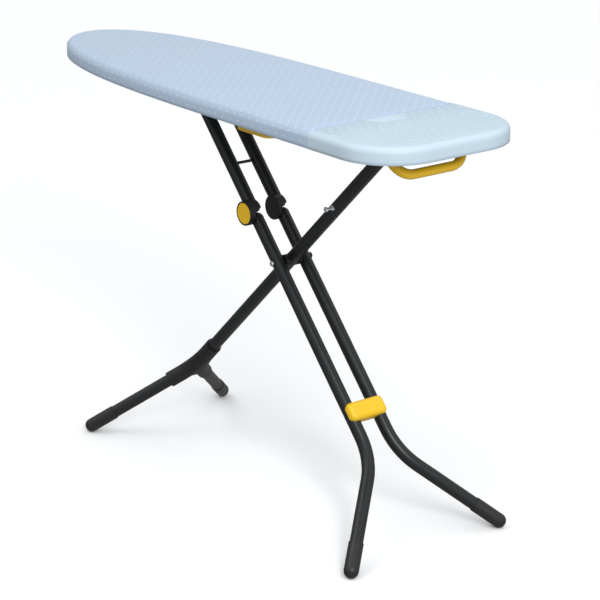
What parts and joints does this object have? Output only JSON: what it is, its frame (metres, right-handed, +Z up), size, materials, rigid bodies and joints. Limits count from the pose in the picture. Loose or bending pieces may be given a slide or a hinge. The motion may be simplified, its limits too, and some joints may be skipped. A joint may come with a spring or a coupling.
{
  "type": "ironing board",
  "caption": "Folding ironing board with a padded fabric top, a silicone iron rest, scissor tube legs, a carry handle and a height release lever.",
  "frame": {"origin": "on the floor, under the middle of the board", "axes": "+Z up, +X towards the square end with the iron rest, nose towards -X"},
  "size_m": [1.2022, 0.391, 0.8076],
  "materials": {
    "cover_fabric": "light blue-grey woven cotton with white dots",
    "pad_foam": "soft foam underlay",
    "silicone": "matte pale aqua silicone",
    "grey_plastic": "matte",
    "sheet_steel": "light grey powder coat",
    "zinc_steel": "bright zinc plate",
    "yellow_plastic": "satin moulded yellow",
    "black_plastic": "satin moulded black",
    "black_paint": "satin black powder coat",
    "black_rubber": "matte black",
    "chrome": "polished"
  },
  "bodies": {
    "board": {"fabric_cover": "cover_fabric", "foam_pad": "pad_foam", "iron_rest": "silicone", "rest_plate": "grey_plastic", "top_sheet": "sheet_steel", "edge_rim": "sheet_steel", "cross_rib_1": "sheet_steel", "cross_rib_2": "sheet_steel", "cross_rib_3": "sheet_steel", "rail_left": "sheet_steel", "rail_right": "sheet_steel", "rear_bracket": "sheet_steel", "rear_axle": "zinc_steel", "rear_axle_clip": "zinc_steel", "carry_handle": "yellow_plastic", "rail_screws": "zinc_steel", "bracket_screws": "zinc_steel", "bearing_screws": "zinc_steel", "handle_screws": "zinc_steel", "shaft_bearings": "black_plastic", "release_spring": "zinc_steel"},
    "release": {"release_shaft": "zinc_steel", "lock_rail": "zinc_steel", "latch_arms": "zinc_steel", "release_lever": "yellow_plastic"},
    "rear_leg": {"rear_leg_tube": "black_paint", "rear_axle_bush": "black_plastic", "pivot_collars": "black_plastic", "stop_stud": "chrome", "leg_fork": "black_plastic", "rear_foot_tube_left": "black_paint", "rear_foot_tube_right": "black_paint", "rear_foot_cap_left": "black_rubber", "rear_foot_cap_right": "black_rubber"},
    "front_leg": {"lower_tube_left": "black_paint", "lower_tube_right": "black_paint", "upper_tube_left": "black_paint", "upper_tube_right": "black_paint", "knuckle_left": "black_plastic", "knuckle_right": "black_plastic", "knuckle_cap": "black_plastic", "knuckle_spring": "zinc_steel", "front_foot_cap_left": "black_rubber", "front_foot_cap_right": "black_rubber", "spreader_rod": "black_paint", "top_axle": "zinc_steel", "axle_rollers": "black_plastic", "axle_caps": "black_plastic", "pivot_washers": "black_plastic", "pivot_bolt": "chrome", "pivot_nut": "black_paint", "leg_clip": "yellow_plastic"},
    "button": {"knuckle_button": "yellow_plastic"}
  },
  "joints": [
    {"name": "leg_fold", "type": "hinge", "parent": "board", "child": "rear_leg", "pos_m": [0.41279, 0, 0.752], "axis": [0, 1, 0], "range_deg": [0, 40.6]},
    {"name": "leg_cross", "type": "hinge", "parent": "rear_leg", "child": "front_leg", "pos_m": [0.1171, 0, 0.4688], "axis": [0, 1, 0], "range_deg": [-84.8, 0]},
    {"name": "release_squeeze", "type": "hinge", "parent": "board", "child": "release", "pos_m": [0, -0.092, 0.756], "axis": [-1, 0, 0], "range_deg": [0, 12], "stiffness_Nm_per_rad": 2, "springref_deg": -17.19},
    {"name": "button_press", "type": "slide", "parent": "front_leg", "child": "button", "axis": [0, 1, 0], "range_m": [0, 0.003], "stiffness_N_per_m": 600, "springref_m": -0.002}
  ],
  "couplings": [
    {"joint": "leg_cross", "follows": "leg_fold", "ratio": -2.0875}
  ]
}
